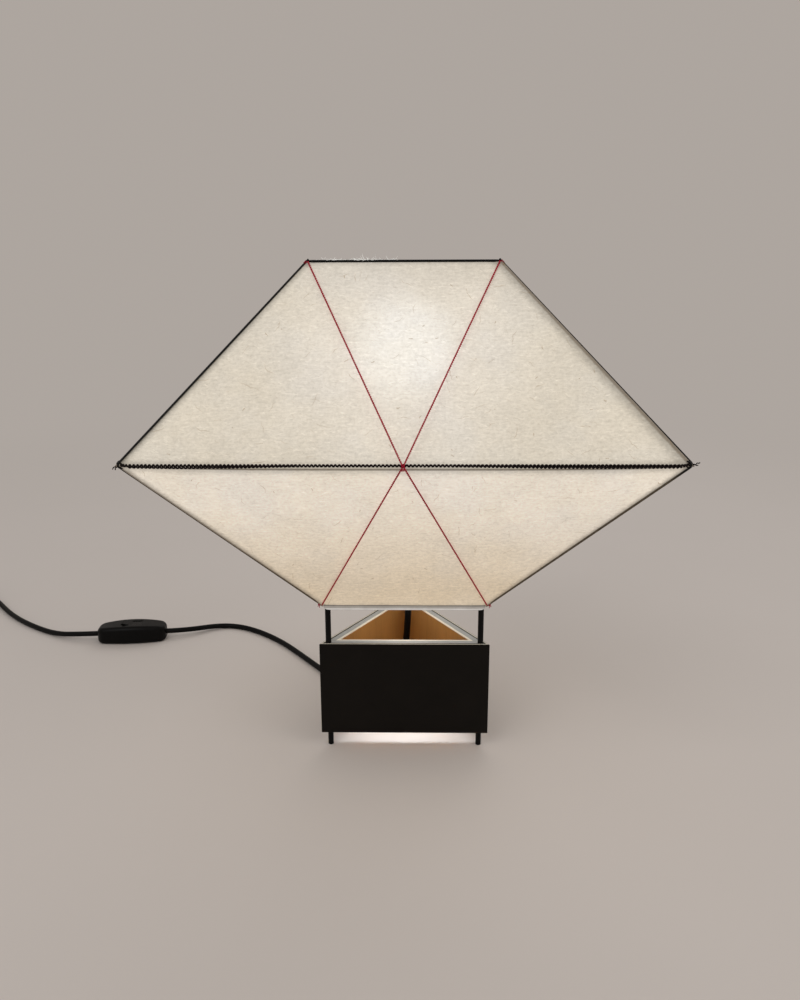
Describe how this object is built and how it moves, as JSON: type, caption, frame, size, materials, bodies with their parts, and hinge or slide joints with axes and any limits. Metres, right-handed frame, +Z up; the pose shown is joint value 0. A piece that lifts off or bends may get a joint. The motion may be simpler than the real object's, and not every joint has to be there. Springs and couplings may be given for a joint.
{
  "type": "paper table lamp",
  "caption": "Three-sided table lamp: a waisted paper shade on steel posts over an open black box, tied with red thread, with a corded in-line switch.",
  "frame": {"origin": "on the lamp's axis at table level, midway between the feet of its posts", "axes": "+Z up along the lamp's axis, -Y the front, +X to the right seen from the front"},
  "size_m": [0.8832, 0.4767, 0.4256],
  "materials": {
    "black_steel": "satin black lacquer on round bar",
    "box_timber": "plain oiled timber, warm brown",
    "black_lacquer": "thin sheet stained and lacquered black",
    "shade_paper": "handmade paper with long fibres, matt",
    "hem_paper": "folded paper strip, matt",
    "red_thread": "waxed dark red thread",
    "waist_rope": "two-ply twisted cord, near black",
    "bracket_steel": "zinc plated",
    "holder_plastic": "moulded phenolic, black",
    "white_ceramic": "unglazed white",
    "contact_brass": "pressed, bright",
    "opal_glass": "opal, frosted",
    "cap_aluminium": "rolled, bright",
    "black_glass": "vitrite, glossy",
    "lead_sheath": "black flexible sheath",
    "tie_plastic": "flat black band",
    "switch_plastic": "moulded, black, satin",
    "plug_rubber": "moulded, black",
    "pin_metal": "nickel plated"
  },
  "bodies": {
    "lamp": {"post_left": "black_steel", "post_right": "black_steel", "post_back": "black_steel", "hoop_top": "black_steel", "hoop_bottom": "black_steel", "rib_left": "black_steel", "rib_right": "black_steel", "rib_back": "black_steel", "base_panel_front": "box_timber", "base_cladding_front": "black_lacquer", "paper_upper_front": "shade_paper", "paper_lower_front": "shade_paper", "paper_hem_front": "hem_paper", "red_threads_front": "red_thread", "base_panel_left": "box_timber", "base_cladding_left": "black_lacquer", "paper_upper_left": "shade_paper", "paper_lower_left": "shade_paper", "paper_hem_left": "hem_paper", "red_threads_left": "red_thread", "base_panel_right": "box_timber", "base_cladding_right": "black_lacquer", "paper_upper_right": "shade_paper", "paper_lower_right": "shade_paper", "paper_hem_right": "hem_paper", "red_threads_right": "red_thread", "waist_knots": "red_thread", "corner_ties_top": "red_thread", "corner_ties_bottom": "red_thread", "waist_cord": "waist_rope", "holder_bracket": "bracket_steel", "post_collars": "bracket_steel", "collar_screws": "bracket_steel", "switch_screws": "bracket_steel", "switch_pivot": "bracket_steel", "holder_body": "holder_plastic", "holder_cap": "holder_plastic", "clamp_ring": "holder_plastic", "cord_grip": "holder_plastic", "holder_insulator": "white_ceramic", "thread_sleeve": "contact_brass", "centre_contact": "contact_brass", "lamp_lead": "lead_sheath", "plug_lead": "lead_sheath", "cord_coil": "lead_sheath", "cord_tie": "tie_plastic", "switch_lower_case": "switch_plastic", "switch_upper_case": "switch_plastic", "plug_relief": "plug_rubber", "plug_body": "plug_rubber", "plug_pins": "pin_metal"},
    "bulb_tip": {"bulb_contact": "cap_aluminium"},
    "bulb": {"bulb_glass": "opal_glass", "bulb_cap": "cap_aluminium", "bulb_insulator": "black_glass"},
    "rocker": {"switch_rocker": "switch_plastic"}
  },
  "joints": [
    {"name": "bulb_rise", "type": "slide", "parent": "lamp", "child": "bulb_tip", "axis": [0, 0, 1], "range_m": [0, 0.01096]},
    {"name": "bulb_turn", "type": "hinge", "parent": "bulb_tip", "child": "bulb", "pos_m": [0, 0, 0.3], "axis": [0, 0, 1], "range_deg": [0, 1080]},
    {"name": "rocker_swing", "type": "hinge", "parent": "lamp", "child": "rocker", "pos_m": [-0.327, 0.19, 0.016], "axis": [0.1045, -0.9945, 0], "range_deg": [0, 14]}
  ],
  "couplings": [
    {"joint": "bulb_rise", "follows": "bulb_turn", "m_per_rad": 0.00057614}
  ]
}
